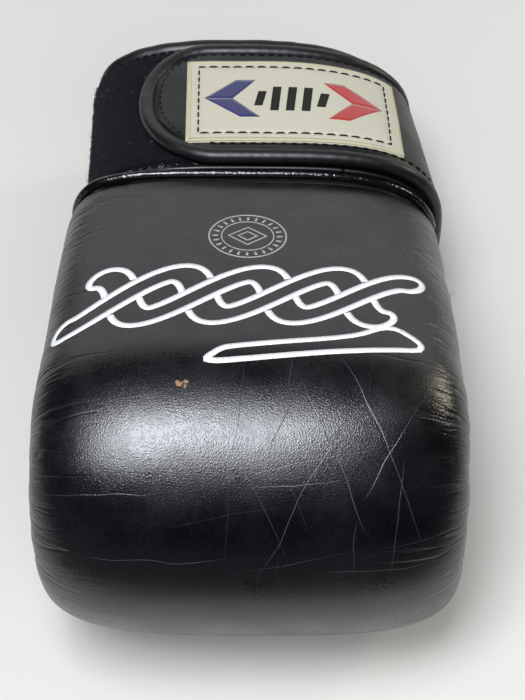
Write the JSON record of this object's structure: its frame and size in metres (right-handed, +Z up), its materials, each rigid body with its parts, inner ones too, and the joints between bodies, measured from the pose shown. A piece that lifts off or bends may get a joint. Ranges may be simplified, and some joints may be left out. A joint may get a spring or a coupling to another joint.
{
  "type": "boxing bag glove",
  "caption": "Open-thumb boxing bag glove for the right hand: a curled, foam-padded mitt with a padded wrist cuff closed by a wide hook-and-loop strap.",
  "frame": {"origin": "middle of the flat that the fist rests on, straight below the centre of the knuckle curve", "axes": "+Z up from the table, +Y from the fist back to the cuff's mouth, +X towards the thumb side"},
  "size_m": [0.1371, 0.2471, 0.1062],
  "materials": {
    "black_leather": "pebbled, semi-gloss",
    "cuff_leather": "smooth, semi-gloss",
    "binding_leather": "rolled edge, glossy",
    "strap_satin": "smooth, satin sheen",
    "strap_lining": "woven, matt",
    "lining_cloth": "woven, matt",
    "loop_pile": "loop pile, navy black",
    "hook_tape": "moulded hooks, matt",
    "woven_label": "woven, cream",
    "foam": "closed-cell foam, matt",
    "grip_bar": "dense foam rod, matt",
    "stiffener": "fibre board, matt"
  },
  "bodies": {
    "mitt": {"dorsal_cover": "black_leather", "palm_cover": "black_leather", "finger_grip_cover": "black_leather", "fingertip_cap": "black_leather", "knuckle_foam_outer": "foam", "knuckle_foam_core": "foam", "knuckle_foam_inner": "foam", "palm_foam": "foam", "hand_lining_back": "lining_cloth", "hand_lining_palm": "lining_cloth", "grip_bar": "grip_bar", "grip_bar_cover": "black_leather", "thumb_hole_binding": "binding_leather", "pinky_seam_piping": "binding_leather", "thumb_seam_piping": "binding_leather", "wrist_piping": "binding_leather", "wrist_gusset": "lining_cloth"},
    "cuff": {"cuff_shell": "cuff_leather", "cuff_foam": "foam", "cuff_lining": "lining_cloth", "cuff_rim_binding": "binding_leather", "loop_field": "loop_pile", "strap_root": "strap_satin"},
    "lip": {"lip_shell": "cuff_leather", "lip_foam": "foam", "lip_lining": "lining_cloth", "lip_rim_binding": "binding_leather"},
    "strap_side": {"strap_turn_face": "strap_satin", "strap_turn_filler": "stiffener", "strap_turn_backing": "strap_lining", "strap_turn_bindings": "binding_leather"},
    "strap_tab": {"strap_tab_face": "strap_satin", "strap_tab_filler": "stiffener", "strap_tab_backing": "strap_lining", "strap_tab_binding": "binding_leather", "hook_patch": "hook_tape", "label_patch": "woven_label"}
  },
  "joints": [
    {"name": "wrist_flex", "type": "hinge", "parent": "mitt", "child": "cuff", "pos_m": [0, 0.1063, 0.0765], "axis": [1, 0, 0], "range_deg": [-6, 12], "deforming": ["wrist_gusset"]},
    {"name": "lip_open", "type": "hinge", "parent": "cuff", "child": "lip", "pos_m": [0.0403, 0.1471, 0.06586], "axis": [0.1728, -0.9703, 0.1692], "range_deg": [0, 25]},
    {"name": "strap_swing", "type": "hinge", "parent": "cuff", "child": "strap_side", "pos_m": [0.05217, 0.144, 0.00574], "axis": [-0.1627, 0.9865, 0.0208], "range_deg": [0, 58]},
    {"name": "strap_peel", "type": "hinge", "parent": "strap_side", "child": "strap_tab", "pos_m": [0.06347, 0.144, 0.05176], "axis": [-0.1214, 0.9765, -0.1778], "range_deg": [0, 100]}
  ],
  "couplings": [
    {"joint": "strap_swing", "follows": "strap_peel", "ratio": 0.58},
    {"joint": "lip_open", "follows": "strap_peel", "ratio": 0.25}
  ]
}
